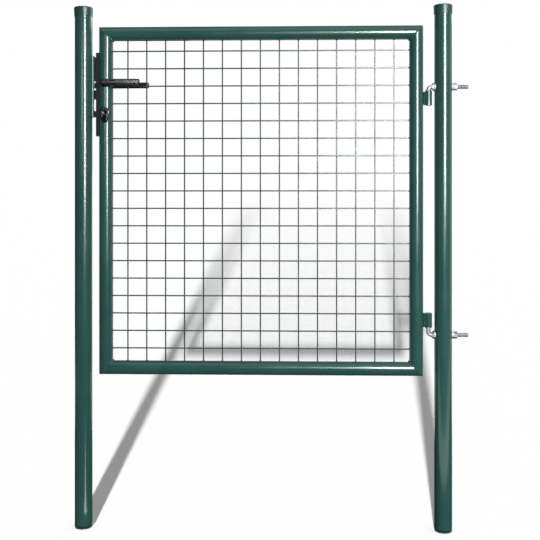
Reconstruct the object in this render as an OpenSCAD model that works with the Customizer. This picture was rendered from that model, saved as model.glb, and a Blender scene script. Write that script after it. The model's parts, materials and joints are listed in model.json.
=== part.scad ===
// Garden fence gate: a welded tube leaf filled with wire mesh, hung between two round posts.
// Millimetres. +Z is up, +X runs from the lock post to the hinge post, -Y is the side seen first.
// The origin is the centre of the hinge post's foot.

/* [Leaf] */
// Width of the leaf over its two stiles
leaf_w = 930; // [700:10:1300]
// Height of the leaf over its two rails
leaf_h = 1000; // [700:10:1400]
// Height of the leaf's underside above the feet of the posts
leaf_base = 440; // [60:10:700]
// Outer diameter of the leaf's tube
frame_d = 40; // [36:1:48]
// Wall of the leaf's tube
frame_t = 1.5; // [1:0.1:2.5]

/* [Mesh] */
// Diameter of the mesh wires
wire_d = 4; // [3:0.5:6]
// Spacing of the upright wires
wire_pitch_x = 54.6; // [40:0.2:80]
// Spacing of the cross wires
wire_pitch_z = 50.2; // [40:0.1:80]
// Height of the middle of the cross wires above the middle of the leaf
mesh_lift = 3; // [-10:0.5:10]
// Depth that the welder presses two crossing wires into each other
wire_press = 1; // [0.5:0.1:1.5]

/* [Posts] */
// Outer diameter of a post
post_d = 50; // [42:1:70]
// Wall of a post
post_t = 1.5; // [1.2:0.1:3]
// Height of the cap's crown above the top of the leaf
post_rise = 60; // [30:5:200]
// Space between the lock post and the leaf
lock_gap = 20.5; // [20:0.5:30]
// Space between the leaf and the hinge post
hinge_gap = 31.5; // [30:0.5:45]

/* [Post caps] */
// Length of the skirt that slides over the post
cap_skirt = 23; // [15:1:40]
// Wall of the skirt at its open end
cap_wall = 1.1; // [0.8:0.1:3]
// Extra wall of the skirt at its shoulder
cap_flare = 1; // [0:0.1:3]
// Radius of the cap's shoulder
cap_round = 3; // [1:0.5:5]
// Rise of the crown above the shoulder
cap_crown = 3; // [1:0.5:8]

/* [Hinges] */
// Depth of the upper hinge rod below the top of the leaf
hinge_drop = 176; // [120:1:250]
// Height of the lower hinge rod above the underside of the leaf
hinge_lift = 117.5; // [80:0.5:250]
// Distance from the hinge post's surface to the hinge axis
axis_off = 17; // [15:0.5:20]
// Diameter of the hinge rod and its pin
rod_d = 12; // [8:0.5:14]
// Straight length of the rod between the inner nut and the bend
bend_gap = 0.5; // [0:0.5:2]
// Outer diameter of a hinge socket
socket_d = 21; // [18:0.5:24]
// Length of a hinge socket
socket_h = 40; // [30:1:60]
// Distance from the upper rod's centre line to its socket
upper_reach = 12.5; // [12:0.5:30]
// Distance from the lower rod's centre line to its socket
lower_reach = 22.5; // [12:0.5:30]
// Diameter of the collar that carries the socket
collar_d = 18; // [14:0.5:20]
// Thickness of the collar
collar_t = 3; // [2:0.5:4]
// Thickness of the lug that joins a socket to the stile
lug_t = 9; // [6:0.5:12]
// Width of a nut across its flats
nut_af = 18; // [13:0.5:19]
// Thickness of the nut on the free side of the post
outer_nut_t = 8; // [6:0.5:10]
// Thickness of the nut on the leaf's side of the post
inner_nut_t = 5; // [4:0.5:6]
// Diameter of the washer on the free side
outer_washer_d = 21; // [18:0.5:26]
// Diameter of the washer on the leaf's side
inner_washer_d = 24; // [18:0.5:24]
// Thickness of the washer on the free side, at its thinnest
outer_washer_t = 6; // [1.5:0.5:8]
// Thickness of the washer on the leaf's side, at its thinnest
inner_washer_t = 2; // [1.5:0.5:2.5]
// Length of rod that stands out of the outer nut
rod_stub = 32; // [5:1:60]

/* [Lock] */
// Depth of the lever spindle below the top of the leaf
spindle_drop = 163; // [150:1:300]
// Distance from the spindle down to the key cylinder
lock_centres = 85; // [72:1:92]
// Height of the forend
forend_h = 240; // [220:1:260]
// Width of the forend
forend_w = 21; // [20:0.5:24]
// Distance that the forend stands out of the stile
forend_out = 7.6; // [6:0.1:9]
// Distance from the spindle up to the top of the forend
forend_rise = 88; // [80:1:100]
// Height of the lock body behind the forend
body_h = 180; // [170:1:190]
// Width of the lock body
body_w = 16; // [14:0.5:18]
// Height of the latch
latch_h = 16; // [12:0.5:18]
// Width of the latch
latch_w = 12; // [8:0.5:12]
// Distance from the spindle's centre line down to the latch's
latch_low = 5; // [0:0.5:8]
// Travel of the latch
latch_throw = 9; // [6:0.5:9]
// Height of the dead bolt
bolt_h = 24; // [18:0.5:26]
// Width of the dead bolt
bolt_w = 8; // [6:0.5:10]
// Distance from the key cylinder up to the dead bolt's centre line
bolt_up = 24; // [22:0.5:26]

/* [Keep] */
// Height of the keep
keep_h = 174; // [160:1:200]
// Distance from the spindle up to the top of the keep
keep_rise = 78; // [70:1:90]
// Width of the keep
keep_w = 36; // [32:0.5:40]
// Thickness of the keep's sheet
keep_t = 2.5; // [1.5:0.5:3]
// Outer radius of the keep's bends
keep_bend = 3; // [3:0.5:5]

/* [Handles] */
// Distance from the spindle to the tip of the front lever
front_lever_l = 104; // [90:1:140]
// Distance from the spindle to the tip of the back lever
back_lever_l = 118; // [90:1:140]
// Height of a lever at the spindle
lever_h = 18; // [18:0.5:24]
// Height of a lever at its tip
lever_tip_h = 17; // [14:0.5:20]
// Thickness of a lever
lever_t = 12; // [10:0.5:14]
// Radius that a lever's edges are rounded to
lever_round = 5; // [2:0.5:5]
// Distance from the stile's surface to the back of a lever
lever_space = 12; // [12:0.5:40]
// Diameter of a lever's neck
neck_d = 15; // [14:0.5:18]
// Side of the square spindle
spindle_side = 8; // [6:0.5:9]
// Diameter of a rose
rose_d = 22; // [20:0.5:28]
// Distance that a rose or escutcheon stands out of the stile
plate_out = 6; // [4:0.5:8]
// Width of an escutcheon at its head
head_d = 30; // [26:0.5:32]
// Width of an escutcheon at its foot
foot_d = 19; // [16:0.5:22]
// Radius that an escutcheon's edge is rounded to
plate_round = 5; // [1:0.5:6]
// Distance that the key cylinder stands out of its escutcheon
cylinder_out = 2; // [1:0.5:8]

/* [Hidden] */

$fn = 64;
hull_sides = 24;

// Clearances
seat = 0.05;          // between a piece and the tube that it is scribed to
slip = 0.1;           // round a rod in its nut, a cap on its post, or a plug in its cylinder
run = 0.05;           // radial running clearance of a hinge pin
slide = 0.3;          // round the latch and the dead bolt
rest_gap = 0.3;       // between a collar and the socket that it carries, a lever and its rose
hole_gap = 0.3;       // round a rod in the post's drilled hole
swing_gap = 5;        // between the swinging leaf and the lock post or the keep
keep_play = 0.2;      // more of it between the forend and the keep
spindle_gap = 1;      // round the spindle in the lock body and the roses
tube_gap = 2;         // round the spindle in the stile
body_gap = 2.5;       // between the lock body and the far wall of the stile
past = 1;             // overrun of a cut past the face that it cuts

// Colours
POWDER = [0.13, 0.32, 0.27];
WIRE = [0.20, 0.27, 0.25];
ZINC = [0.78, 0.79, 0.80];
BLACK = [0.10, 0.10, 0.11];
CAP = [0.12, 0.28, 0.24];
NICKEL = [0.80, 0.78, 0.72];

// Posts and leaf
post_r = post_d / 2;
frame_r = frame_d / 2;
leaf_right = -post_r - hinge_gap;
leaf_left = leaf_right - leaf_w;
lock_post_x = leaf_left - lock_gap - post_r;
leaf_top = leaf_base + leaf_h;
stile_lock_x = leaf_left + frame_r;
stile_hinge_x = leaf_right - frame_r;
cap_rise = cap_round + cap_crown;
shoulder_turn = 70;
post_h = leaf_top + post_rise - cap_rise;

// Mesh
clear_w = leaf_w - 2 * frame_d;
clear_h = leaf_h - 2 * frame_d;
cols = floor(clear_w / wire_pitch_x);
rows = floor(clear_h / wire_pitch_z);
wire_shift = (wire_d - wire_press) / 2;
wire_sides = 8;

// Hinges
axis_x = -post_r - axis_off;
bend_r = axis_off - inner_washer_t - inner_nut_t - bend_gap;
upper_rod_z = leaf_top - hinge_drop;
lower_rod_z = leaf_base + hinge_lift;
rod_end = post_r + outer_washer_t + outer_nut_t + rod_stub;
pin_bevel = 1.5;
pin_short = 2;

// Lock
spindle_z = leaf_top - spindle_drop;
key_z = spindle_z - lock_centres;
latch_z = spindle_z - latch_low;
bolt_z = key_z + bolt_up;
forend_top = spindle_z + forend_rise;
forend_mid = forend_top - forend_h / 2;
forend_face = -frame_r - forend_out;
keep_top = spindle_z + keep_rise;
latch_out = lock_gap - forend_out - swing_gap;
keep_face = latch_out - keep_play;
spindle_reach = spindle_side * sqrt(2) / 2;
latch_tail = -spindle_reach - swing_gap - latch_throw;
plate_face = -frame_r - plate_out;
rose_r = rose_d / 2;
lever_back = -frame_r - lever_space;
body_back = frame_r - frame_t - body_gap;
nose_bevel = 4;
edge = 1;

// Key cylinder, the profile that door locks share
profile_r = 8.5;
profile_w = 10;
profile_h = 33;
profile_low = profile_r + profile_w / 2 - profile_h;
plug_r = 6.4;
plug_depth = 5;
plug_proud = 0.6;
plug_rim = 0.9;
plug_dish = 1.7;
keyway_w = 1.6;
keyway_h = 8.5;

// Points of an arc about c, from angle a to angle b
function arc(c, r, a, b, steps = 6) =
    [for (i = [0:steps]) c + r * [cos(a + (b - a) * i / steps), sin(a + (b - a) * i / steps)]];

module tube(d, t, h) {
    difference() {
        cylinder(d = d, h = h);
        translate([0, 0, -past]) cylinder(d = d - 2 * t, h = h + 2 * past);
    }
}

// Turns a piece made along +Z so that it runs along +X
module along_x() {
    rotate([0, 90, 0]) children();
}

// Turns a piece made along +Z so that it runs along -Y
module towards_front() {
    rotate([90, 0, 0]) children();
}

module at_spindle() {
    translate([stile_lock_x, 0, spindle_z]) children();
}

module at_key() {
    translate([stile_lock_x, 0, key_z]) children();
}

// Posts

module hinge_post() {
    color(POWDER) difference() {
        tube(post_d, post_t, post_h);
        for (z = [lower_rod_z, upper_rod_z])
            translate([-post_r - past, 0, z])
                along_x() cylinder(d = rod_d + 2 * hole_gap, h = post_d + 2 * past);
    }
}

module lock_post() {
    color(POWDER) translate([lock_post_x, 0, 0]) tube(post_d, post_t, post_h);
}

module cap() {
    inner = post_r + slip;
    lip = inner + cap_wall;
    shoulder = lip + cap_flare;
    color(CAP) rotate_extrude() polygon(concat(
        [[0, slip], [inner, slip], [inner, -cap_skirt], [lip, -cap_skirt]],
        arc([shoulder - cap_round, 0], cap_round, 0, shoulder_turn),
        arc([0, -crown_drop(shoulder)], crown_radius(shoulder), crown_start(shoulder), 90)));
}

// The crown is an arc that starts where the shoulder's arc ends and peaks on the axis
function crown_edge(shoulder) =
    [shoulder - cap_round + cap_round * cos(shoulder_turn), cap_round * sin(shoulder_turn)];
function crown_radius(shoulder) =
    let (w = crown_edge(shoulder)[0], h = cap_rise - crown_edge(shoulder)[1])
        (w * w + h * h) / (2 * h);
function crown_drop(shoulder) = crown_radius(shoulder) - cap_rise;
function crown_start(shoulder) = acos(crown_edge(shoulder)[0] / crown_radius(shoulder));

module hinge_post_cap() {
    translate([0, 0, post_h]) cap();
}

module lock_post_cap() {
    translate([lock_post_x, 0, post_h]) cap();
}

// Keep: a channel welded to the lock post, its web slotted for the latch and the dead bolt

module keep_section() {
    outer = post_r + keep_face;
    inner_bend = keep_bend - keep_t;
    half = keep_w / 2;
    difference() {
        polygon(concat([[0, -half]],
            arc([outer - keep_bend, keep_bend - half], keep_bend, -90, 0),
            arc([outer - keep_bend, half - keep_bend], keep_bend, 0, 90),
            [[0, half]]));
        polygon(concat([[-past, keep_t - half]],
            arc([outer - keep_bend, keep_bend - half], inner_bend, -90, 0),
            arc([outer - keep_bend, half - keep_bend], inner_bend, 0, 90),
            [[-past, half - keep_t]]));
    }
}

// A slot through the web that runs out of the back flange, so that the leaf can swing back
module keep_slot(z, w, h) {
    translate([post_r, -w / 2 - swing_gap, z - h / 2 - swing_gap])
        cube([keep_face + past, w / 2 + swing_gap + keep_w, h + 2 * swing_gap]);
}

module keep() {
    color(POWDER) translate([lock_post_x, 0, 0]) difference() {
        translate([0, 0, keep_top - keep_h]) linear_extrude(keep_h) keep_section();
        translate([0, 0, keep_top - keep_h - past])
            cylinder(r = post_r + seat, h = keep_h + 2 * past);
        keep_slot(latch_z, latch_w, latch_h);
        keep_slot(bolt_z, bolt_w, bolt_h);
    }
}

// Hinges

// An elbowed rod about its horizontal centre line, with its pin pointing down
module hinge_bolt(reach) {
    bend_x = axis_x + bend_r;
    pin_end = reach + socket_h - pin_short;
    color(ZINC) {
        translate([bend_x, 0, 0]) along_x() cylinder(d = rod_d, h = rod_end - bend_x - pin_bevel);
        translate([rod_end - pin_bevel, 0, 0]) along_x()
            cylinder(d1 = rod_d, d2 = rod_d - 2 * pin_bevel, h = pin_bevel);
        translate([bend_x, 0, -bend_r]) rotate([90, 0, 0]) rotate([0, 0, 90])
            rotate_extrude(angle = 90) translate([bend_r, 0]) circle(d = rod_d);
        translate([axis_x, 0, pin_bevel - pin_end])
            cylinder(d = rod_d, h = pin_end - bend_r - pin_bevel);
        translate([axis_x, 0, -pin_end])
            cylinder(d1 = rod_d - 2 * pin_bevel, d2 = rod_d, h = pin_bevel);
        translate([axis_x, 0, rest_gap - reach])
            cylinder(d = collar_d, h = collar_t);
    }
}

module upper_hinge_bolt() {
    translate([0, 0, upper_rod_z]) hinge_bolt(upper_reach);
}

module lower_hinge_bolt() {
    translate([0, 0, lower_rod_z]) mirror([0, 0, 1]) hinge_bolt(lower_reach);
}

module nut(t) {
    corner = nut_af / sqrt(3);
    bevel = corner - nut_af / 2;
    color(ZINC) along_x() difference() {
        intersection() {
            cylinder(r = corner, h = t, $fn = 6);
            rotate_extrude() polygon([[0, 0], [nut_af / 2, 0], [corner, bevel / 2],
                [corner, t - bevel / 2], [nut_af / 2, t], [0, t]]);
        }
        translate([0, 0, -past]) cylinder(d = rod_d + 2 * slip, h = t + 2 * past);
    }
}

// A washer whose back is hollowed to sit on the round post; t is its thickness at the middle
module saddle_washer(d, t) {
    color(ZINC) difference() {
        along_x() cylinder(d = d, h = post_r + t);
        cylinder(r = post_r + seat, h = d + past, center = true);
        along_x() cylinder(d = rod_d + 2 * slip, h = post_r + t + past);
    }
}

module inner_nut(z) {
    translate([-post_r - inner_washer_t - inner_nut_t, 0, z]) nut(inner_nut_t);
}

module outer_nut(z) {
    translate([post_r + outer_washer_t, 0, z]) nut(outer_nut_t);
}

module inner_washer(z) {
    translate([0, 0, z]) mirror([1, 0, 0]) saddle_washer(inner_washer_d, inner_washer_t);
}

module outer_washer(z) {
    translate([0, 0, z]) saddle_washer(outer_washer_d, outer_washer_t);
}

module upper_inner_nut() {
    inner_nut(upper_rod_z);
}

module upper_outer_nut() {
    outer_nut(upper_rod_z);
}

module lower_inner_nut() {
    inner_nut(lower_rod_z);
}

module lower_outer_nut() {
    outer_nut(lower_rod_z);
}

module upper_inner_washer() {
    inner_washer(upper_rod_z);
}

module upper_outer_washer() {
    outer_washer(upper_rod_z);
}

module lower_inner_washer() {
    inner_washer(lower_rod_z);
}

module lower_outer_washer() {
    outer_washer(lower_rod_z);
}

// A socket on the hinge axis with the lug that is welded to the stile; z is its lower end
module hinge_socket(z) {
    color(POWDER) difference() {
        translate([0, 0, z]) union() {
            translate([axis_x, 0, 0]) cylinder(d = socket_d, h = socket_h);
            translate([stile_hinge_x, -lug_t / 2, 0])
                cube([axis_x - stile_hinge_x, lug_t, socket_h]);
        }
        translate([stile_hinge_x, 0, z - past])
            cylinder(r = frame_r + seat, h = socket_h + 2 * past);
        translate([axis_x, 0, z - past])
            cylinder(d = rod_d + 2 * run, h = socket_h + 2 * past);
    }
}

module upper_hinge_socket() {
    hinge_socket(upper_rod_z - upper_reach - socket_h);
}

module lower_hinge_socket() {
    hinge_socket(lower_rod_z + lower_reach);
}

// Leaf frame, mitred at its corners

// The side of the leaf's outline that a mitred tube of this length fills, seen from the front
module mitre(length) {
    towards_front() linear_extrude(frame_d + 2 * past, center = true)
        polygon([[0, 0], [frame_d, frame_d], [frame_d, length - frame_d], [0, length]]);
}

module mitred_tube(length) {
    intersection() {
        translate([frame_r, 0, 0]) tube(frame_d, frame_t, length);
        mitre(length);
    }
}

module lock_stile() {
    color(POWDER) difference() {
        translate([leaf_left, 0, leaf_base]) mitred_tube(leaf_h);
        translate([leaf_left - past, -body_w / 2 - slide, forend_mid - body_h / 2 - slide])
            cube([frame_r, body_w + 2 * slide, body_h + 2 * slide]);
        at_spindle() rotate([90, 0, 0])
            cylinder(r = spindle_reach + tube_gap, h = frame_d + 2 * past, center = true);
        at_key() key_profile(slide, frame_d + 2 * past);
    }
}

module hinge_stile() {
    color(POWDER) translate([leaf_right, 0, leaf_base]) mirror([1, 0, 0]) mitred_tube(leaf_h);
}

module bottom_rail() {
    color(POWDER) translate([leaf_left, 0, leaf_base])
        mirror([1, 0, 0]) rotate([0, -90, 0]) mitred_tube(leaf_w);
}

module top_rail() {
    color(POWDER) translate([leaf_left, 0, leaf_top])
        rotate([0, 90, 0]) mitred_tube(leaf_w);
}

// Mesh, uprights behind and cross wires in front, ending on the tubes' inner sides

module wire(length) {
    rotate([0, 0, 180 / wire_sides]) cylinder(d = wire_d, h = length, center = true, $fn = wire_sides);
}

module mesh_panel() {
    color(WIRE) translate([leaf_left + leaf_w / 2, 0, leaf_base + leaf_h / 2]) union() {
        for (i = [0:cols - 1])
            translate([(i - (cols - 1) / 2) * wire_pitch_x, wire_shift, 0])
                wire(clear_h);
        for (i = [0:rows - 1])
            translate([0, -wire_shift, mesh_lift + (i - (rows - 1) / 2) * wire_pitch_z])
                along_x() wire(clear_w);
    }
}

// Lock

// The key cylinder's section, grown by a clearance and centred on the stile
module key_profile(grow, length) {
    rotate([90, 0, 0]) linear_extrude(length, center = true) union() {
        circle(r = profile_r + grow);
        translate([-profile_w / 2 - grow, profile_low]) square([profile_w + 2 * grow, -profile_low]);
        translate([0, profile_low]) circle(r = profile_w / 2 + grow);
    }
}

module latch_way() {
    translate([stile_lock_x + forend_face - past, -latch_w / 2 - slide, latch_z - latch_h / 2 - slide])
        cube([latch_tail + latch_throw + slide - forend_face + past,
            latch_w + 2 * slide, latch_h + 2 * slide]);
}

module bolt_way() {
    translate([stile_lock_x + forend_face - past, -bolt_w / 2 - slide, bolt_z - bolt_h / 2 - slide])
        cube([bolt_length() + past + slide, bolt_w + 2 * slide, bolt_h + 2 * slide]);
}

function bolt_length() = -forend_face + frame_r / 2;

module lock_body() {
    color(BLACK) difference() {
        intersection() {
            translate([leaf_left, -body_w / 2, forend_mid - body_h / 2])
                cube([frame_r + body_back, body_w, body_h]);
            translate([stile_lock_x, 0, leaf_base]) cylinder(r = frame_r, h = leaf_h);
        }
        at_spindle() rotate([90, 0, 0])
            cylinder(r = spindle_reach + spindle_gap, h = body_w + 2 * past, center = true);
        at_key() key_profile(slip, body_w + 2 * past);
        latch_way();
        bolt_way();
    }
}

module forend() {
    color(BLACK) difference() {
        translate([stile_lock_x, 0, forend_top - forend_h]) linear_extrude(forend_h)
            polygon([[forend_face + edge, -forend_w / 2], [-frame_r / 2, -forend_w / 2],
                [-frame_r / 2, forend_w / 2], [forend_face + edge, forend_w / 2],
                [forend_face, forend_w / 2 - edge], [forend_face, edge - forend_w / 2]]);
        translate([stile_lock_x, 0, forend_top - forend_h - past])
            cylinder(r = frame_r + seat, h = forend_h + 2 * past);
        latch_way();
        bolt_way();
    }
}

// The latch, thrown: its nose is bevelled on the side that leads when the leaf closes
module latch_bolt() {
    nose = forend_face - latch_out;
    half = latch_w / 2;
    color(ZINC) translate([stile_lock_x, 0, latch_z - latch_h / 2]) linear_extrude(latch_h)
        polygon([[nose, half], [nose, half - nose_bevel], [nose + 2 * nose_bevel, -half],
            [latch_tail, -half], [latch_tail, half]]);
}

// The dead bolt, withdrawn level with the forend
module dead_bolt() {
    color(ZINC) translate([stile_lock_x + forend_face + slide, -bolt_w / 2, bolt_z - bolt_h / 2])
        cube([bolt_length() - slide, bolt_w, bolt_h]);
}

module cylinder_body() {
    length = 2 * (frame_r + plate_out + cylinder_out);
    color(NICKEL) at_key() difference() {
        key_profile(0, length);
        for (side = [-1, 1])
            translate([0, side * (length / 2 + past), 0]) rotate([90 * side, 0, 0])
                cylinder(r = plug_r + slip, h = plug_depth + past);
    }
}

// The turning core of the key cylinder, on the front, dished round its keyway
module plug() {
    length = plug_depth + plug_proud;
    at_key() difference() {
        translate([0, plate_face - cylinder_out + plug_depth, 0]) towards_front()
            rotate_extrude() polygon([[0, 0], [plug_r, 0], [plug_r, length],
                [plug_r - plug_rim, length], [keyway_w, length - plug_dish], [0, length - plug_dish]]);
        translate([-keyway_w / 2, plate_face - cylinder_out - past, -keyway_h / 2])
            cube([keyway_w, plug_depth / 2 + past, keyway_h]);
    }
}

module front_plug() {
    color(NICKEL) plug();
}

module back_plug() {
    color(NICKEL) mirror([0, 1, 0]) plug();
}

// One end of an escutcheon, from the stile's centre line out to its rounded edge
module plate_end(r) {
    rotate_extrude($fn = hull_sides) polygon(concat([[0, 0], [r, 0]],
        arc([r - plate_round, -plate_face - plate_round], plate_round, 0, 90), [[0, -plate_face]]));
}

// A round head over the plug, drawn in to a round foot
module escutcheon() {
    color(BLACK) difference() {
        at_key() towards_front() hull() {
            plate_end(head_d / 2);
            translate([0, profile_low, 0]) plate_end(foot_d / 2);
        }
        translate([stile_lock_x, 0, leaf_base]) cylinder(r = frame_r + seat, h = leaf_h);
        at_key() key_profile(slip, 2 * frame_d);
    }
}

module front_escutcheon() {
    escutcheon();
}

module back_escutcheon() {
    mirror([0, 1, 0]) escutcheon();
}

module rose() {
    color(BLACK) difference() {
        at_spindle() towards_front() rotate_extrude() polygon([[0, 0], [rose_r, 0],
            [rose_r, -plate_face - edge], [rose_r - edge, -plate_face], [0, -plate_face]]);
        translate([stile_lock_x, 0, leaf_base]) cylinder(r = frame_r + seat, h = leaf_h);
        at_spindle() towards_front() cylinder(r = spindle_reach + spindle_gap, h = 2 * frame_d);
    }
}

module front_rose() {
    rose();
}

module back_rose() {
    mirror([0, 1, 0]) rose();
}

// Handles

// The round end of a lever, about its spindle
module lever_hub() {
    rotate_extrude($fn = hull_sides) polygon(concat([[0, 0]],
        arc([lever_h / 2 - lever_round, lever_round], lever_round, -90, 0),
        arc([lever_h / 2 - lever_round, lever_t - lever_round], lever_round, 0, 90), [[0, lever_t]]));
}

// A lever about its spindle on the front: a round neck that carries a rounded grip
module lever(length) {
    neck_face = plate_face - rest_gap;
    color(BLACK) difference() {
        union() {
            translate([0, neck_face, 0]) towards_front()
                cylinder(d = neck_d, h = neck_face - lever_back + lever_round);
            translate([0, lever_back, 0]) towards_front() hull() {
                lever_hub();
                for (y = [-1, 1])
                    for (z = [lever_round, lever_t - lever_round])
                        translate([length - lever_round, y * (lever_tip_h / 2 - lever_round), z])
                            sphere(r = lever_round, $fn = hull_sides);
            }
        }
        translate([-spindle_side / 2 - slip, lever_back, -spindle_side / 2 - slip])
            cube([spindle_side + 2 * slip, -lever_back, spindle_side + 2 * slip]);
    }
}

module front_lever() {
    at_spindle() lever(front_lever_l);
}

module back_lever() {
    at_spindle() mirror([0, 1, 0]) lever(back_lever_l);
}

module spindle() {
    length = 2 * (-lever_back - slip);
    color(ZINC) at_spindle() cube([spindle_side, length, spindle_side], center = true);
}

hinge_post();
lock_post();
hinge_post_cap();
lock_post_cap();
keep();
upper_hinge_bolt();
lower_hinge_bolt();
upper_inner_nut();
upper_outer_nut();
lower_inner_nut();
lower_outer_nut();
upper_inner_washer();
upper_outer_washer();
lower_inner_washer();
lower_outer_washer();
lock_stile();
hinge_stile();
top_rail();
bottom_rail();
mesh_panel();
upper_hinge_socket();
lower_hinge_socket();
lock_body();
forend();
dead_bolt();
cylinder_body();
front_plug();
back_plug();
front_escutcheon();
back_escutcheon();
front_rose();
back_rose();
front_lever();
back_lever();
spindle();
latch_bolt();
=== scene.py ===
"""Looks of the garden fence gate: its finishes, welds, threads and small fasteners, in a studio.

Metres. +Z is up, +X runs from the lock post to the hinge post, -Y is the side seen first.
"""

import json
import math
import random

import bmesh
import bpy
from mathutils import Matrix, Vector


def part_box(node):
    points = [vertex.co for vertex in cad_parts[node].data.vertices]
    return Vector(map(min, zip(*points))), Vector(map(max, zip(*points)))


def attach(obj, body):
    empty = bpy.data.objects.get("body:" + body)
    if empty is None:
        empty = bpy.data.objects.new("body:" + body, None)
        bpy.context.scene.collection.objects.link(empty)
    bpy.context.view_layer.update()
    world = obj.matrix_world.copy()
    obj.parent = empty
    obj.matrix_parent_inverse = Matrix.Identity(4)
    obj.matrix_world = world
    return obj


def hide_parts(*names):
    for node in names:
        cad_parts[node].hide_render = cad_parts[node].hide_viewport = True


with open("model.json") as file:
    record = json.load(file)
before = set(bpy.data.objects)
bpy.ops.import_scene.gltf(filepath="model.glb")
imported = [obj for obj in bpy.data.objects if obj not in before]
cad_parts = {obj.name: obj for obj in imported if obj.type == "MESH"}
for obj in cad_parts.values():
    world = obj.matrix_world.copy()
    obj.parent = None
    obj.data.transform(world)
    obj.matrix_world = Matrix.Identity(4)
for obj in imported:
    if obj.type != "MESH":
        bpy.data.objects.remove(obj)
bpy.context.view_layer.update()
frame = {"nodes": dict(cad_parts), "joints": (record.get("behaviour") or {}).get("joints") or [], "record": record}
nodes = frame["nodes"]
MM = 0.001


# Places and sizes read from the frame

def middle(node):
    low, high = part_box(node)
    return (low + high) / 2


def size(node):
    low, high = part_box(node)
    return high - low


post_r = size("hinge_post").x / 2
lock_post_x = middle("lock_post").x
leaf_left, leaf_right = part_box("lock_stile")[0].x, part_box("hinge_stile")[1].x
leaf_base, leaf_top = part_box("lock_stile")[0].z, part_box("lock_stile")[1].z
frame_r = (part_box("lock_stile")[1].x - leaf_left) / 2
lock_stile_x = leaf_left + frame_r
hinge_stile_x = leaf_right - frame_r
gate_middle_x = lock_post_x / 2
axis_x = next(j["pos_m"][0] for j in frame["joints"] if j["name"] == "gate_swing")
collar_r = axis_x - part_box("upper_hinge_bolt")[0].x
socket_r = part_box("upper_hinge_socket")[1].x - axis_x
key_z = middle("front_plug").z

# Sizes that no box of a node gives
rod_r = 6 * MM
lug_t = 9 * MM
mesh_pitch_x, mesh_pitch_z = 54.6 * MM, 50.2 * MM
mesh_columns, mesh_rows = 15, 18
mesh_lift = 3 * MM
wire_shift = 1.5 * MM       # each layer of wires, from the leaf's middle


# Camera

def make_camera():
    lens = bpy.data.cameras.new("camera")
    lens.sensor_width = 36
    lens.lens = 56.67
    lens.shift_y = -0.1297
    camera = bpy.data.objects.new("camera", lens)
    camera.location = (-0.423, -2.437, 0.942)
    camera.rotation_euler = (math.radians(90), 0, math.radians(1.664))
    bpy.context.scene.collection.objects.link(camera)
    bpy.context.scene.camera = camera


# Material helpers

def new_material(name):
    material = bpy.data.materials.new(name)
    material.use_nodes = True
    tree = material.node_tree
    tree.nodes.clear()
    return material, tree


def add_node(tree, kind, sockets=None, **settings):
    """A node of a kind, with its settings and the values of its unlinked sockets."""
    node = tree.nodes.new(kind)
    for name, value in settings.items():
        setattr(node, name, value)
    for name, value in (sockets or {}).items():
        node.inputs[name].default_value = value
    return node


def new_group(name, inputs, outputs):
    """A node group with float inputs (name, value) and outputs (name, socket type)."""
    group = bpy.data.node_groups.new(name, "ShaderNodeTree")
    for socket, value in inputs:
        made = group.interface.new_socket(socket, in_out="INPUT", socket_type="NodeSocketFloat")
        made.default_value = value
    for socket, kind in outputs:
        group.interface.new_socket(socket, in_out="OUTPUT", socket_type=kind)
    return group, group.nodes.new("NodeGroupInput"), group.nodes.new("NodeGroupOutput")


def use_group(tree, group, **values):
    node = tree.nodes.new("ShaderNodeGroup")
    node.node_tree = group
    for name, value in values.items():
        node.inputs[name.title()].default_value = value
    return node


def grey(value):
    return (value, value, value, 1)


def ramp(tree, low, high, start=0.0, end=1.0):
    """A Map Range from start..end to low..high."""
    return add_node(tree, "ShaderNodeMapRange",
                    {"From Min": start, "From Max": end, "To Min": low, "To Max": high})


# Shared effects

coat_patch = 9.0            # patches per metre, roughly
metal_patch = 90.0


def make_coat_relief():
    """The orange peel of a sprayed coat: a normal, and a mask of its thicker patches."""
    group, given, out = new_group(
        "coat_relief",
        [("Scale", 300.0), ("Height", 0.05), ("Patch", coat_patch)],
        [("Normal", "NodeSocketVector"), ("Patches", "NodeSocketFloat")],
    )
    place = add_node(group, "ShaderNodeTexCoord")
    peel = add_node(group, "ShaderNodeTexNoise", {"Detail": 2.0, "Roughness": 0.5})
    patch = add_node(group, "ShaderNodeTexNoise", {"Detail": 3.0, "Roughness": 0.6})
    bump = add_node(group, "ShaderNodeBump", {"Distance": 0.0004})
    link = group.links.new
    link(place.outputs["Object"], peel.inputs["Vector"])
    link(place.outputs["Object"], patch.inputs["Vector"])
    link(given.outputs["Scale"], peel.inputs["Scale"])
    link(given.outputs["Patch"], patch.inputs["Scale"])
    link(peel.outputs["Fac"], bump.inputs["Height"])
    link(given.outputs["Height"], bump.inputs["Strength"])
    link(bump.outputs["Normal"], out.inputs["Normal"])
    link(patch.outputs["Fac"], out.inputs["Patches"])
    return group


coat_relief = make_coat_relief()
shade_band = (6 * MM, 9 * MM)         # above the ground: where the painted shade at the foot of the posts fades out


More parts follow.
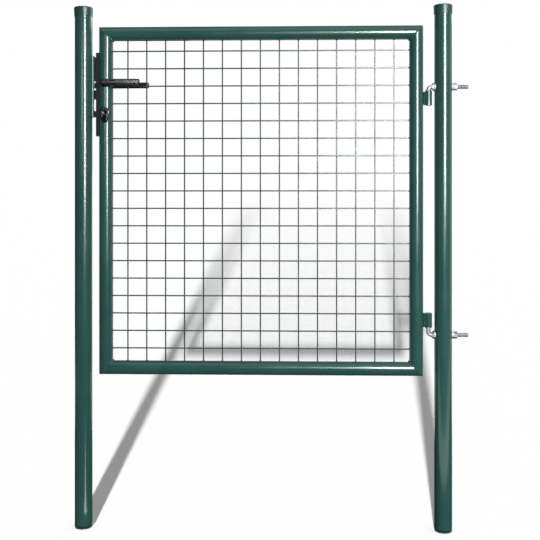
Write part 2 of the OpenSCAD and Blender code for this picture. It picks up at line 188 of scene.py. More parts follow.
def patchy_shader(tree, shades, mottle, roughness, spread, relief, sockets):
    """A shader that mixes two shades and varies its gloss from patch to patch.

    Returns it with the socket of the mixed colour, which the caller links.
    """
    link = tree.links.new
    shader = add_node(tree, "ShaderNodeBsdfPrincipled", sockets)
    out = tree.nodes.new("ShaderNodeOutputMaterial")
    shade = add_node(tree, "ShaderNodeMix", data_type="RGBA")
    for socket, colour in zip(shade.inputs[6:8], shades):
        socket.default_value = (*colour, 1)
    spots = ramp(tree, 0.0, 1.0, *mottle)
    gloss = ramp(tree, roughness - spread, roughness + spread, 0.3, 0.7)
    link(relief.outputs["Patches"], spots.inputs["Value"])
    link(relief.outputs["Patches"], gloss.inputs["Value"])
    link(spots.outputs["Result"], shade.inputs[0])
    link(gloss.outputs["Result"], shader.inputs["Roughness"])
    link(relief.outputs["Normal"], shader.inputs["Normal"])
    link(shader.outputs["BSDF"], out.inputs["Surface"])
    return shader, shade.outputs[2]


def coat_material(name, dark, light, roughness, spread, scale, height, foot_shade_share=1.0):
    """A sprayed coat whose colour and gloss shift slightly from patch to patch.

    The last argument is the share of the colour left at the very foot: painted shade where the posts stand on the
    floor.
    """
    material, tree = new_material(name)
    link = tree.links.new
    relief = use_group(tree, coat_relief, scale=scale, height=height)
    shader, colour = patchy_shader(tree, (dark, light), (0.35, 0.65), roughness, spread, relief,
                                   {"IOR": 1.5})
    place = add_node(tree, "ShaderNodeTexCoord")
    axes = add_node(tree, "ShaderNodeSeparateXYZ")
    # Painted shade: the colour darkens towards the ground, down to the given share at the very foot
    shade_ramp = ramp(tree, foot_shade_share, 1.0, *shade_band)
    shaded_colour = add_node(tree, "ShaderNodeVectorMath", operation="SCALE")
    link(place.outputs["Object"], axes.inputs[0])
    link(axes.outputs["Z"], shade_ramp.inputs["Value"])
    link(colour, shaded_colour.inputs[0])
    link(shade_ramp.outputs["Result"], shaded_colour.inputs["Scale"])
    link(shaded_colour.outputs["Vector"], shader.inputs["Base Color"])
    return material


# The foot of each post gets painted shade: its colour falls to 0.15 of itself at the ground
green_coat = coat_material(
    "green_coat", (0.024, 0.088, 0.076), (0.029, 0.100, 0.087), 0.18, 0.03, 420.0, 0.22,
    foot_shade_share=0.15)
wire_coat = coat_material(
    "wire_coat", (0.025, 0.057, 0.050), (0.034, 0.075, 0.065), 0.26, 0.04, 500.0, 0.4)
cap_plastic = coat_material(
    "cap_plastic", (0.020, 0.070, 0.060), (0.024, 0.080, 0.069), 0.36, 0.03, 900.0, 0.3)
black_coat = coat_material(
    "black_coat", (0.012, 0.011, 0.013), (0.018, 0.017, 0.019), 0.18, 0.03, 900.0, 0.06)


def metal_material(name, colour, tint, roughness, spread):
    """A plated or bare metal with cloudy patches of colour and gloss."""
    material, tree = new_material(name)
    relief = use_group(tree, coat_relief, scale=900.0, height=0.3, patch=metal_patch)
    shader, shade = patchy_shader(tree, (colour, tint), (0.4, 0.7), roughness, spread, relief,
                                  {"Metallic": 1.0, "Specular Tint": (0.3, 0.3, 0.31, 1)})
    tree.links.new(shade, shader.inputs["Base Color"])
    return material


zinc = metal_material("zinc", (0.56, 0.57, 0.59), (0.46, 0.46, 0.46), 0.20, 0.04)
bolt_steel = metal_material("bolt_steel", (0.66, 0.66, 0.67), (0.58, 0.58, 0.58), 0.30, 0.06)
nickel = metal_material("nickel", (0.54, 0.52, 0.48), (0.44, 0.42, 0.39), 0.26, 0.05)

FINISHES = {
    "green_powder_coat": green_coat,
    "green_wire_coat": wire_coat,
    "green_cap_plastic": cap_plastic,
    "zinc_plate": zinc,
    "bolt_steel": bolt_steel,
    "black_satin": black_coat,
    "nickel": nickel,
}


def finish_nodes():
    """Gives each node of the frame the finish of its material slot."""
    for part in frame["record"]["subparts"]:
        for slot in nodes[part["node"]].material_slots:
            slot.material = FINISHES[part["material_slot"]]


# Mesh helpers

def add_piece(name, bm, material, body, smooth_to=40):
    """An object from a bmesh, smooth but for its sharp edges, that rides on a body."""
    bmesh.ops.recalc_face_normals(bm, faces=bm.faces)
    mesh = bpy.data.meshes.new(name)
    bm.to_mesh(mesh)
    bm.free()
    mesh.shade_smooth()
    mesh.set_sharp_from_angle(angle=math.radians(smooth_to))
    mesh.materials.append(material)
    piece = bpy.data.objects.new(name, mesh)
    bpy.context.scene.collection.objects.link(piece)
    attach(piece, body)
    return piece


def new_verts(made):
    return [g for g in made if isinstance(g, bmesh.types.BMVert)]


def edges_among(verts):
    """The edges that join these vertices, in a fixed order."""
    ring = set(verts)
    near = dict.fromkeys(edge for vert in verts for edge in vert.link_edges)
    return [edge for edge in near if edge.verts[0] in ring and edge.verts[1] in ring]


def sweep(bm, stations, sides=12):
    """A closed round tube; a station is a centre, the way that the tube runs and a radius."""
    centre, way, radius = stations[0]
    ring = bmesh.ops.create_circle(bm, segments=sides, radius=radius)["verts"]
    turn = Vector((0, 0, 1)).rotation_difference(way)
    bmesh.ops.rotate(bm, verts=ring, matrix=turn.to_matrix())
    bmesh.ops.translate(bm, verts=ring, vec=centre)
    edges = first = edges_among(ring)
    for place, heading, width in stations[1:]:
        ring = new_verts(bmesh.ops.extrude_edge_only(bm, edges=edges)["geom"])
        edges = edges_among(ring)
        turn = way.rotation_difference(heading)
        bmesh.ops.rotate(bm, verts=ring, cent=centre, matrix=turn.to_matrix())
        bmesh.ops.translate(bm, verts=ring, vec=place - centre)
        bmesh.ops.scale(bm, verts=ring, vec=[width / radius] * 3,
                        space=Matrix.Translation(-place))
        centre, way, radius = place, heading, width
    bmesh.ops.holes_fill(bm, edges=first + edges, sides=0)


def lathe(bm, profile, place, way, steps=32):
    """A turned shape; a point of its profile is a radius and a height along the way."""
    old = set(bm.verts)
    line = [bm.verts.new((radius, 0, height)) for radius, height in profile]
    edges = [bm.edges.new(pair) for pair in zip(line, line[1:])]
    bmesh.ops.spin(bm, geom=line + edges, axis=(0, 0, 1), cent=(0, 0, 0), angle=math.tau,
                   steps=steps, use_merge=True)
    made = [vert for vert in bm.verts if vert not in old]
    bmesh.ops.holes_fill(bm, edges=[e for e in edges_among(made) if e.is_boundary], sides=0)
    turn = Vector((0, 0, 1)).rotation_difference(way)
    bmesh.ops.rotate(bm, verts=made, matrix=turn.to_matrix())
    bmesh.ops.translate(bm, verts=made, vec=place)


# Hinge bolts

thread_pitch = 1.75 * MM
thread_depth = 1.05 * MM
thread_steps = 24
# One turn as shares of its pitch, with 0 at the root and 1 at the crest
thread_turn = ((0.0, 0), (0.14, 0), (0.46, 1), (0.68, 1), (1.0, 0))
rod_bevel = 1.5 * MM
bend_gap = 0.5 * MM         # from the inner nut to the bend
bend_steps = 14
collar_t, collar_round = 3 * MM, 0.7 * MM
collar_rise = 0.3 * MM      # from the end of the socket to the collar


def thread(bm, start, end, height):
    """A screw thread along X, closed at both ends and bevelled at the far one."""
    old = set(bm.verts)
    turns = math.ceil((end - start) / thread_pitch) + 2
    line = [bm.verts.new((start + (at - 1) * thread_pitch, 0, rod_r - thread_depth * (1 - full)))
            for at, full in thread_turn]
    edges = [bm.edges.new(pair) for pair in zip(line, line[1:])]
    bmesh.ops.spin(bm, geom=line + edges, axis=(1, 0, 0), cent=(0, 0, 0),
                   dvec=(thread_pitch / thread_steps, 0, 0), angle=math.tau * turns,
                   steps=thread_steps * turns, use_merge=False)
    made = [vert for vert in bm.verts if vert not in old]
    bmesh.ops.remove_doubles(bm, verts=made, dist=thread_pitch / 1000)
    for at, way in ((start, -1), (end, 1)):
        made = [vert for vert in bm.verts if vert not in old]
        edges = edges_among(made)
        faces = list(dict.fromkeys(face for edge in edges for face in edge.link_faces))
        cut = bmesh.ops.bisect_plane(bm, geom=made + edges + faces, plane_co=(at, 0, 0),
                                     plane_no=(way, 0, 0), clear_outer=True)["geom_cut"]
        rim = [g for g in cut if isinstance(g, bmesh.types.BMEdge)]
        bmesh.ops.holes_fill(bm, edges=rim, sides=0)
    made = [vert for vert in bm.verts if vert not in old]
    for vert in made:
        across = math.hypot(vert.co.y, vert.co.z)
        limit = rod_r - max(0.0, vert.co.x - end + rod_bevel)
        if across > limit:
            vert.co.y *= limit / across
            vert.co.z *= limit / across
    bmesh.ops.translate(bm, verts=made, vec=(0, 0, height))


def make_hinge_bolt(name, inner_nut, turn_down):
    """An elbowed rod: a thread through the post, a bend, and a pin with a collar."""
    low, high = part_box(name)
    height = middle(inner_nut).z
    side = -1 if turn_down else 1
    pin_end = low.z if turn_down else high.z
    bend_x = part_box(inner_nut)[0].x - bend_gap
    bend_r = bend_x - axis_x
    bm = bmesh.new()
    thread(bm, bend_x, high.x, height)
    # The plain rod swells out of the last turns of the thread
    inwards = Vector((-1, 0, 0))
    stations = [(Vector((bend_x + overlap, 0, height)), inwards, rod_r * share)
                for overlap, share in ((2 * MM, 0.9), (0.4 * MM, 1))]
    for i in range(bend_steps + 1):
        angle = math.pi / 2 * i / bend_steps
        place = Vector((bend_x - bend_r * math.sin(angle), 0,
                        height + side * bend_r * (1 - math.cos(angle))))
        way = Vector((-math.cos(angle), 0, side * math.sin(angle)))
        stations.append((place, way, rod_r))
    down = Vector((0, 0, side))
    tip = Vector((axis_x, 0, pin_end))
    stations.append((tip - down * rod_bevel, down, rod_r))
    stations.append((tip, down, rod_r - rod_bevel))
    sweep(bm, stations, sides=32)
    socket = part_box("upper_hinge_socket" if turn_down else "lower_hinge_socket")
    seat = socket[1].z if turn_down else socket[0].z
    inner = rod_r * 0.8
    near, far = collar_rise, collar_rise + collar_t
    soft, nip = collar_round, collar_round * 0.3
    lathe(bm, [(inner, near), (collar_r - soft, near), (collar_r - nip, near + nip),
               (collar_r, near + soft), (collar_r, far - soft), (collar_r - nip, far - nip),
               (collar_r - soft, far), (inner, far)],
          Vector((axis_x, 0, seat)), -down, steps=40)
    bolt = add_piece(name.replace("bolt", "rod"), bm, zinc, "posts")
    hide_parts(name)


# Welds

uneven = (0.88, 1.1)        # the least and the most that a ripple has of its radius
end_share = 0.55            # of a bead's radius, at its first and last ripple
dip_share = 0.8             # of a ripple's radius, where it starts


def weld_bead(bm, points, radii, chance):
    """A weld bead along points that lie a ripple apart; each ripple steps down to the next."""
    last = len(points) - 1
    stations = []
    for i, (point, radius) in enumerate(zip(points, radii)):
        span = points[min(i + 1, last)] - points[max(i - 1, 0)]
        way = span.normalized()
        swell = radius * chance.uniform(*uneven) * (end_share if i in (0, last) else 1)
        stations.append((point - span / 6, way, swell * dip_share))
        stations.append((point + span / 6, way, swell))
    sweep(bm, stations, sides=10)


def straight_bead(bm, start, end, radius, chance, ripple=1.8 * MM):
    """A straight weld bead whose ripples are about this long."""
    count = max(2, round((end - start).length / ripple))
    points = [start.lerp(end, i / count) for i in range(count + 1)]
    weld_bead(bm, points, [radius] * len(points), chance)


def make_frame_welds():
    """A bead round the inner half of each mitre, fullest in the corner."""
    chance = random.Random(3)
    bm = bmesh.new()
    half_turn = math.radians(98)
    steps = 40
    sunk_r = frame_r * 0.985
    thin, fuller = 2.3 * MM, 1.5 * MM
    for x, side in ((lock_stile_x, 1), (hinge_stile_x, -1)):
        for z, up in ((leaf_base + frame_r, 1), (leaf_top - frame_r, -1)):
            points, radii = [], []
            for i in range(steps + 1):
                angle = half_turn * (2 * i / steps - 1)
                inwards = sunk_r * math.cos(angle)
                points.append(Vector((x + side * inwards, sunk_r * math.sin(angle),
                                      z + up * inwards)))
                radii.append(thin + fuller * max(0, math.cos(angle)) ** 3)
            weld_bead(bm, points, radii, chance)
    add_piece("frame_welds", bm, green_coat, "leaf")


def make_hinge_welds():
    """Beads that fill the corners between each socket, its lug and the stile."""
    chance = random.Random(5)
    bm = bmesh.new()
    stile_side = hinge_stile_x + math.sqrt(frame_r ** 2 - (lug_t / 2) ** 2)
    socket_side = axis_x - math.sqrt(socket_r ** 2 - (lug_t / 2) ** 2)
    x = (stile_side + socket_side) / 2
    inset, radius, ripple = 2 * MM, 4.2 * MM, 2.4 * MM
    for name in ("upper_hinge_socket", "lower_hinge_socket"):
        low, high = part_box(name)
        for y in (-lug_t / 2, lug_t / 2):
            straight_bead(bm, Vector((x, y, low.z + inset)), Vector((x, y, high.z - inset)),
                          radius, chance, ripple)
    add_piece("hinge_welds", bm, green_coat, "leaf")


def make_keep_welds():
    """Short beads at the ends of the keep's flanges."""
    chance = random.Random(8)
    bm = bmesh.new()
    low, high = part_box("keep")
    flange = high.y
    proud, inset, length, radius = 0.8 * MM, 0.5 * MM, 9 * MM, 2.2 * MM
    x = lock_post_x + math.sqrt(post_r ** 2 - flange ** 2) + proud
    for y in (-flange, flange):
        for start, way in ((low.z, 1), (high.z, -1)):
            near = Vector((x, y, start + way * inset))
            straight_bead(bm, near, near + Vector((0, 0, way * length)), radius, chance)
    add_piece("keep_welds", bm, green_coat, "posts")


def make_mesh_welds():
    """A low nugget where two wires cross, and a fuller one where a wire meets a tube."""
    chance = random.Random(13)
    centre_x, centre_z = (leaf_left + leaf_right) / 2, (leaf_base + leaf_top) / 2 + mesh_lift
    xs = [centre_x + (i - (mesh_columns - 1) / 2) * mesh_pitch_x for i in range(mesh_columns)]
    zs = [centre_z + (i - (mesh_rows - 1) / 2) * mesh_pitch_z for i in range(mesh_rows)]
    tube = 2 * frame_r
    sides, ends = (leaf_left + tube, leaf_right - tube), (leaf_base + tube, leaf_top - tube)
    # Half sizes in millimetres: at a crossing, and at the ends of rows and of columns
    crossing, row_end, column_end = (2.5, 1.7, 2.5), (2.6, 3.0, 3.0), (3.0, 3.0, 2.6)
    spots = [((x, 0, z), crossing) for x in xs for z in zs]
    spots += [((x, -wire_shift, z), row_end) for x in sides for z in zs]
    spots += [((x, wire_shift, z), column_end) for x in xs for z in ends]
    bm = bmesh.new()
    for place, half_size in spots:
        ball = bmesh.ops.create_icosphere(bm, subdivisions=1, radius=MM)["verts"]
        grow = chance.uniform(0.9, 1.15)
        bmesh.ops.rotate(bm, verts=ball,
                         matrix=Matrix.Rotation(chance.uniform(0, math.tau), 3, "Y"))
        bmesh.ops.scale(bm, verts=ball, vec=[length * grow for length in half_size])
        bmesh.ops.translate(bm, verts=ball, vec=place)
    add_piece("mesh_welds", bm, wire_coat, "leaf", smooth_to=180)


# Lock fastenings

def screw_head(bm, place, way, radius, height, socket):
    """A low screw head with a hexagonal socket, closed underneath."""
    crown_share, crown_rise, socket_depth = 0.8, height * 0.5, height * 0.9
    old = set(bm.verts)
    rim = bmesh.ops.create_circle(bm, segments=24, radius=radius)["verts"]
    rim_edges = edges_among(rim)
    lower = new_verts(bmesh.ops.extrude_edge_only(bm, edges=rim_edges)["geom"])
    bmesh.ops.translate(bm, verts=lower, vec=(0, 0, -height))
    bmesh.ops.holes_fill(bm, edges=edges_among(lower), sides=0)
    crown = new_verts(bmesh.ops.extrude_edge_only(bm, edges=rim_edges)["geom"])
    bmesh.ops.scale(bm, verts=crown, vec=(crown_share, crown_share, 1))
    bmesh.ops.translate(bm, verts=crown, vec=(0, 0, crown_rise))
    hexagon = bmesh.ops.create_circle(bm, segments=6, radius=socket)["verts"]
    bmesh.ops.translate(bm, verts=hexagon, vec=(0, 0, crown_rise))
    bmesh.ops.bridge_loops(bm, edges=edges_among(crown) + edges_among(hexagon))
    floor = new_verts(bmesh.ops.extrude_edge_only(bm, edges=edges_among(hexagon))["geom"])
    bmesh.ops.translate(bm, verts=floor, vec=(0, 0, -socket_depth))
    bmesh.ops.holes_fill(bm, edges=edges_among(floor), sides=0)
    made = [vert for vert in bm.verts if vert not in old]
    turn = Vector((0, 0, 1)).rotation_difference(way)
    bmesh.ops.rotate(bm, verts=made, matrix=turn.to_matrix())
    bmesh.ops.translate(bm, verts=made, vec=place)


def make_lock_screws():
    """Two screws that hold the forend and one that holds the key cylinder."""
    low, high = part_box("forend")
    from_end, proud = 9 * MM, 0.3 * MM
    bm = bmesh.new()
    for z in (low.z + from_end, key_z, high.z - from_end):
        screw_head(bm, Vector((low.x - proud, 0, z)), Vector((-1, 0, 0)),
                   radius=3.6 * MM, height=0.9 * MM, socket=1.9 * MM)
    add_piece("lock_screws", bm, bolt_steel, "leaf", smooth_to=25)


def make_lever_screws():
    """The small screw under each lever's neck that locks it to the spindle."""
    neck_y, neck_r = 28.5 * MM, 7.3 * MM
    bm = bmesh.new()
    for side in (-1, 1):
        screw_head(bm, Vector((lock_stile_x, side * neck_y, middle("spindle").z - neck_r)),
                   Vector((0, 0, -1)), radius=2.4 * MM, height=0.6 * MM, socket=1.3 * MM)
    add_piece("lever_screws", bm, black_coat, "handles", smooth_to=25)


# Studio: a white floor and world

slope = math.radians(15.1)
slope_start = 0.03          # where the floor starts to rise, behind the gate
floor_reach = 40.0
floor_front = 12.0
floor_glow = 0.17
level_white, rising_white = 2.23, 1.0       # these even out how the low key strikes them
paper_grey = 0.25           # what the floor sends back to the gate
fade_start, fade_end = 1.4, 3.6             # where the floor turns plain white, along Y
ambient = 0.13
cloth_lift = 0.01
black, dark = 0.005, 0.03   # radiances of cloths


def make_floor():
    """A floor that is level under the gate and rises behind it, white, with the gate's shadow."""
    bm = bmesh.new()
    ends = [bm.verts.new((side * floor_reach, -floor_front, 0)) for side in (-1, 1)]
    edge = bm.edges.new(ends)
    for step in (Vector((0, floor_front + slope_start, 0)),
                 Vector((0, math.cos(slope), math.sin(slope))) * floor_reach):
        made = bmesh.ops.extrude_edge_only(bm, edges=[edge])["geom"]
        edge = next(g for g in made if isinstance(g, bmesh.types.BMEdge))
        bmesh.ops.translate(bm, verts=new_verts(made), vec=step)
    bmesh.ops.recalc_face_normals(bm, faces=bm.faces)
    if bm.faces[:][0].normal.z < 0:
        bmesh.ops.reverse_faces(bm, faces=bm.faces)
    mesh = bpy.data.meshes.new("floor")
    bm.to_mesh(mesh)
    bm.free()
    floor = bpy.data.objects.new("floor", mesh)
    mesh.materials.append(floor_material("level_floor", level_white))
    mesh.materials.append(floor_material("rising_floor", rising_white))
    for face in mesh.polygons:
        face.material_index = int(face.center.y > slope_start)
    bpy.context.scene.collection.objects.link(floor)
    return floor


def seen_rays(tree):
    """1 for the rays that show the background: camera, glossy and transmission rays."""
    path = tree.nodes.new("ShaderNodeLightPath")
    first = add_node(tree, "ShaderNodeMath", operation="ADD")
    second = add_node(tree, "ShaderNodeMath", operation="ADD", use_clamp=True)
    tree.links.new(path.outputs["Is Camera Ray"], first.inputs[0])
    tree.links.new(path.outputs["Is Glossy Ray"], first.inputs[1])
    tree.links.new(first.outputs[0], second.inputs[0])
    tree.links.new(path.outputs["Is Transmission Ray"], second.inputs[1])
    return second.outputs[0]


def floor_material(name, shown_white):
    """White paper; shown_white makes up for how flatly the key light strikes it.

    It is seen as a lit white with a glow, which fades into plain white far behind the gate.
    The gate itself is lit by a grey paper. From below the floor is clear.
    """
    material, tree = new_material(name)
    link = tree.links.new
    out = tree.nodes.new("ShaderNodeOutputMaterial")
    paper = add_node(tree, "ShaderNodeBsdfDiffuse", {"Color": grey(paper_grey)})
    lit = add_node(tree, "ShaderNodeBsdfDiffuse", {"Color": grey(shown_white)})
    glow = add_node(tree, "ShaderNodeEmission", {"Strength": floor_glow})
    near = tree.nodes.new("ShaderNodeAddShader")
    far = add_node(tree, "ShaderNodeEmission", {"Strength": 1.0})
    place = tree.nodes.new("ShaderNodeTexCoord")
    axes = tree.nodes.new("ShaderNodeSeparateXYZ")
    fade = ramp(tree, 0.0, 1.0, fade_start, fade_end)
    shown = tree.nodes.new("ShaderNodeMixShader")
    pick = tree.nodes.new("ShaderNodeMixShader")
    through = tree.nodes.new("ShaderNodeBsdfTransparent")
    back = tree.nodes.new("ShaderNodeNewGeometry")
    sides = tree.nodes.new("ShaderNodeMixShader")
    link(lit.outputs[0], near.inputs[0])
    link(glow.outputs[0], near.inputs[1])
    link(place.outputs["Object"], axes.inputs[0])
    link(axes.outputs["Y"], fade.inputs["Value"])
    for mix, factor, first, second in (
            (shown, fade.outputs["Result"], near, far),
            (pick, seen_rays(tree), paper, shown),
            (sides, back.outputs["Backfacing"], pick, through)):
        link(factor, mix.inputs[0])
        link(first.outputs[0], mix.inputs[1])
        link(second.outputs[0], mix.inputs[2])
    link(sides.outputs[0], out.inputs["Surface"])
    return material


def make_world():
    """Plain white to the camera and in gloss, and a dim white as light."""
    world = bpy.data.worlds.new("studio")
    world.use_nodes = True
    bpy.context.scene.world = world
    tree = world.node_tree
    tree.nodes.clear()
    soft = add_node(tree, "ShaderNodeBackground", {"Strength": ambient, "Color": grey(1)})
    shown = add_node(tree, "ShaderNodeBackground", {"Strength": 1.0, "Color": grey(1)})
    pick = tree.nodes.new("ShaderNodeMixShader")
    out = tree.nodes.new("ShaderNodeOutputWorld")
    tree.links.new(seen_rays(tree), pick.inputs[0])
    tree.links.new(soft.outputs[0], pick.inputs[1])
    tree.links.new(shown.outputs[0], pick.inputs[2])
    tree.links.new(pick.outputs[0], out.inputs["Surface"])


# Cloths and cards that only reflections show

def hang_card(name, bm, radiance):
    """Stages a card or cloth that only shows in reflections, at a plain radiance."""
    mesh = bpy.data.meshes.new(name)
    bm.to_mesh(mesh)
    bm.free()
    material, tree = new_material(name)
    tone = add_node(tree, "ShaderNodeEmission", {"Strength": radiance})
    out = tree.nodes.new("ShaderNodeOutputMaterial")
    tree.links.new(tone.outputs[0], out.inputs["Surface"])
    mesh.materials.append(material)
    card = bpy.data.objects.new(name, mesh)
    bpy.context.scene.collection.objects.link(card)
    card.visible_camera = False
    card.visible_diffuse = False
    card.visible_shadow = False
    card.visible_transmission = False


def make_bowl(name, start, end, radiance):
    """A cloth round part of the set, from near the gate out and up."""
    near, far, high = 0.9, 4.6, 5.6
    bm = bmesh.new()
    line = [bm.verts.new((0, -radius, height)) for radius, height in
            ((near, cloth_lift), (far, cloth_lift), (far, high))]
    edges = [bm.edges.new(pair) for pair in zip(line, line[1:])]
    bmesh.ops.rotate(bm, verts=line, matrix=Matrix.Rotation(math.radians(start), 3, "Z"))
    bmesh.ops.spin(bm, geom=line + edges, axis=(0, 0, 1), cent=(0, 0, 0),
                   angle=math.radians(end - start), steps=24, use_merge=False)
    bmesh.ops.translate(bm, verts=bm.verts, vec=(gate_middle_x, 0, 0))
    hang_card(name, bm, radiance)


def make_side_cloth():
    """Black cloth at the left and behind it, for the dark left edges of the tubes."""
    high = 5.6
    bm = bmesh.new()
    side = [bm.verts.new((x, y, cloth_lift))
            for x, y in ((-5.0, -2.0), (-2.6, 0.0), (-1.96, 1.37))]
    edges = [bm.edges.new(pair) for pair in zip(side, side[1:])]
    made = bmesh.ops.extrude_edge_only(bm, edges=edges)["geom"]
    bmesh.ops.translate(bm, verts=new_verts(made), vec=(0, 0, high))
    hang_card("side_cloth", bm, black)


def make_floor_cloth():
    """Dark cloth on the floor round the gate, for the lower edges of the tubes."""
    reach_x, front_reach, back_reach, lift = 2.2, 1.0, 0.45, 0.005
    bm = bmesh.new()
    ends = [bm.verts.new((gate_middle_x + side * reach_x, -front_reach, lift))
            for side in (-1, 1)]
    edges = [bm.edges.new(ends)]
    for step in (Vector((0, front_reach + slope_start, 0)),
                 Vector((0, back_reach, back_reach * math.tan(slope)))):
        made = bmesh.ops.extrude_edge_only(bm, edges=edges)["geom"]
        bmesh.ops.translate(bm, verts=new_verts(made), vec=step)
        edges = edges_among(new_verts(made))
    hang_card("floor_cloth", bm, dark)


def hang_flat_card(name, width, length, place, radiance, upright=False):
    """A flat card, level or facing the gate; its width is along X."""
    bm = bmesh.new()
    bmesh.ops.create_grid(bm, x_segments=1, y_segments=1, size=0.5)
    bmesh.ops.scale(bm, verts=bm.verts, vec=(width, length, 1))
    if upright:
        bmesh.ops.rotate(bm, verts=bm.verts, matrix=Matrix.Rotation(math.pi / 2, 3, "X"))
    bmesh.ops.translate(bm, verts=bm.verts, vec=place)
    hang_card(name, bm, radiance)


def hang_cloths():
    """Every cloth and card of the set."""
    make_bowl("black_bowl", -75, 45, black)
    make_bowl("grey_bowl", 45, 88, 0.2)
    make_side_cloth()
    make_floor_cloth()
    # Behind the lock, for the keep's web
    hang_flat_card("keep_card", 0.26, 0.5, (-0.9, 0.35, 1.28), dark, upright=True)
    # High behind the gate, to tone down what upper edges show
    for name, left, right, radiance in (("left_roof_card", -7.0, -0.9, 0.15),
                                        ("right_roof_card", -0.9, 6.0, 0.35)):
        hang_flat_card(name, right - left, 8.0, ((left + right) / 2, 4.2, 4.4), radiance)


# Lamps; each is either plain light or what gloss shows of it

gate_centre = Vector((gate_middle_x, 0, 0.9))
box_place = (0.92, -3.1, 1.66)
box_sides = (1.1, 1.45)


def add_lamp(name, kind, place, target, strength, lights, gloss_only=True, **settings):
    """A lamp that faces a target and lights the pieces of a collection."""
    lamp = bpy.data.lights.new(name, kind)
    lamp.energy = strength
    for key, value in settings.items():
        setattr(lamp, key, value)
    holder = bpy.data.objects.new(name, lamp)
    holder.location = place
    holder.rotation_euler = (Vector(target) - Vector(place)).to_track_quat("-Z", "Y").to_euler()
    holder.visible_glossy = gloss_only
    holder.visible_diffuse = not gloss_only
    holder.light_linking.receiver_collection = lights
    bpy.context.scene.collection.objects.link(holder)
    return holder


def add_panel(name, place, target, sides, radiance, lights, gloss_only=True, spread=math.pi):
    """A rectangular lamp of a size and spread that shows a radiance on its axis."""
    half = spread / 2
    gain = 1.0 if spread > 3 else math.tan(half) / (math.tan(half) - half)
    power = radiance * math.pi * sides[0] * sides[1] / gain
    return add_lamp(name, "AREA", place, target, power, lights, gloss_only,
                    shape="RECTANGLE", size=sides[0], size_y=sides[1], spread=spread)


def receivers(name, pieces, state="INCLUDE"):
    """A collection for light linking that takes in, or leaves out, these pieces."""
    group = bpy.data.collections.new(name)
    for piece in pieces:
        group.objects.link(piece)
    for item in group.collection_objects:
        item.light_linking.link_state = state
    return group


def only(*names):
    """A collection for light linking of these nodes."""
    return receivers("on_" + "_".join(names), [nodes[name] for name in names])


def wearers(*finishes):
    """The pieces that have one of these materials."""
    return [item for item in bpy.data.objects if item.type == "MESH" and item.material_slots
            and item.material_slots[0].material in finishes]


def add_key(on_floor, off_floor):
    """A low key from just left of the camera, which throws the shadow up the sloping floor."""
    aside, down = math.radians(4.8), math.radians(7.67)
    way = Vector((math.sin(aside), math.cos(aside), -math.tan(down)))
    for name, strength, lights in (("key", 1.4, off_floor), ("key_on_floor", 5.69, on_floor)):
        add_lamp(name, "SUN", gate_centre - way * 4, gate_centre, strength, lights,
                 gloss_only=False, angle=math.radians(2.4))


def add_soft_box(floor):
    """What gloss shows of a soft box at the right, with the dim edge of its cloth.

    Wires, rails and metal each show it at a radiance of their own.
    """
    metal = wearers(zinc, bolt_steel, nickel)
    off_metal = receivers("off_metal", [floor] + metal, "EXCLUDE")
    rails = only("top_rail", "bottom_rail")
    for name, place, sides, radiance, lights in (
            ("soft_box_gloss", box_place, box_sides, 37, off_metal),
            ("metal_gloss", box_place, box_sides, 2.4, receivers("all_metal", metal)),
            ("wire_gloss", box_place, box_sides, 150, only("mesh_panel")),
            ("rail_gloss", (0.33, -3.1, 1.66), (0.40, 1.45), 55, rails),
            ("rail_haze", (-0.27, -3.1, 1.66), (0.80, 1.45), 1.7, rails),
            ("soft_box_fringe", (0.3, -3.12, 1.5), (1.3, 1.9), 2.2, off_metal)):
        add_panel(name, place, (place[0], 0, place[2]), sides, radiance, lights)


def add_tent():
    """A white tent that only zinc and steel show."""
    bright = receivers("on_metal", wearers(zinc, bolt_steel))
    for name, place, target, sides in (
            ("tent_front", (0, -2.6, 1.7), (0, 0, 1.7), (7, 3.4)),
            ("tent_floor", (0, -1.45, 0.03), (0, -1.45, 1), (7, 2.3)),
            ("tent_roof", (0, -1.65, 3.4), (0, -1.65, 0), (7, 1.9))):
        add_panel(name, place, target, sides, 1.0, bright)


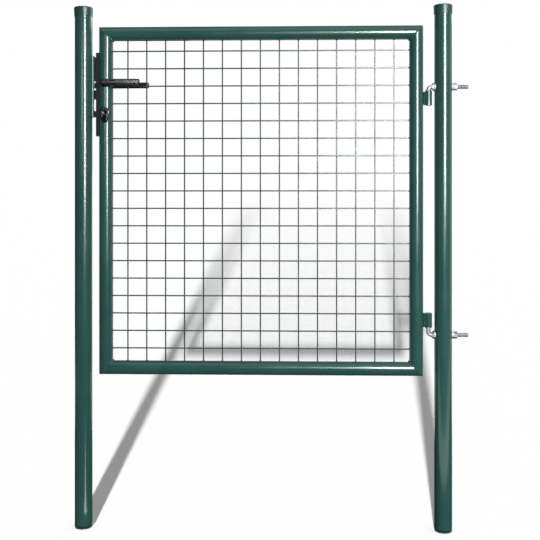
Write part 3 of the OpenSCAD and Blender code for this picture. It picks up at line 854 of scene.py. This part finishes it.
def add_lock_beams():
    """Narrow beams on the lock's side, for the tubes there and the satin of its black pieces."""
    for name, place, target, sides, spread, radiance, lights in (
            ("forend_gloss", (-1.95, -3.9, 1.75), (-0.99, 0, 1.245), (0.9, 1.0), 26, 0.6,
             only("forend")),
            ("lock_gloss", (-1.45, -3.9, 1.72), (lock_stile_x, 0, 1.22), (0.9, 0.6), 26, 12,
             only("front_escutcheon", "lock_post", "lock_stile")),
            ("lever_gloss", (-1.36, -3.9, 1.81), (-0.80, 0, 1.28), (0.3, 0.4), 8, 62,
             only("front_lever"))):
        add_panel(name, place, target, sides, radiance, lights, spread=math.radians(spread))


def add_foot_glare():
    """Glare from the floor on the foot of each post."""
    height = 0.02
    add_panel("hinge_post_glare", (0, -0.66, height), (0, -0.66, 1), (4.6, 0.6), 1.8,
              only("hinge_post"))
    turn, reach = math.radians(36), 0.47
    place = Vector((lock_post_x + reach * math.sin(turn), -reach * math.cos(turn), height))
    streak = add_panel("lock_post_glare", place, place + Vector((0, 0, 1)), (0.06, 0.74), 8,
                       only("lock_post"))
    streak.rotation_euler = (math.pi, 0, turn)


def make_studio():
    bpy.context.scene.view_settings.view_transform = "Standard"
    make_world()
    floor = make_floor()
    hang_cloths()
    off_floor = receivers("off_floor", [floor], "EXCLUDE")
    add_key(receivers("on_floor", [floor]), off_floor)
    add_soft_box(floor)
    add_tent()
    add_panel("soft_box_light", (1.8, -2.76, 1.6), gate_centre, box_sides, 16, off_floor,
              gloss_only=False)
    add_lock_beams()
    add_foot_glare()
    # A soft box behind, for the far side
    for name, radiance, gloss_only in (("back_box_gloss", 5, True), ("back_box_light", 13, False)):
        add_panel(name, (1.2, 2.4, 2.6), gate_centre, (1.6, 1.2), radiance, off_floor, gloss_only)


make_camera()
finish_nodes()
make_hinge_bolt("upper_hinge_bolt", "upper_inner_nut", turn_down=True)
make_hinge_bolt("lower_hinge_bolt", "lower_inner_nut", turn_down=False)
make_frame_welds()
make_hinge_welds()
make_keep_welds()
make_mesh_welds()
make_lock_screws()
make_lever_screws()
make_studio()
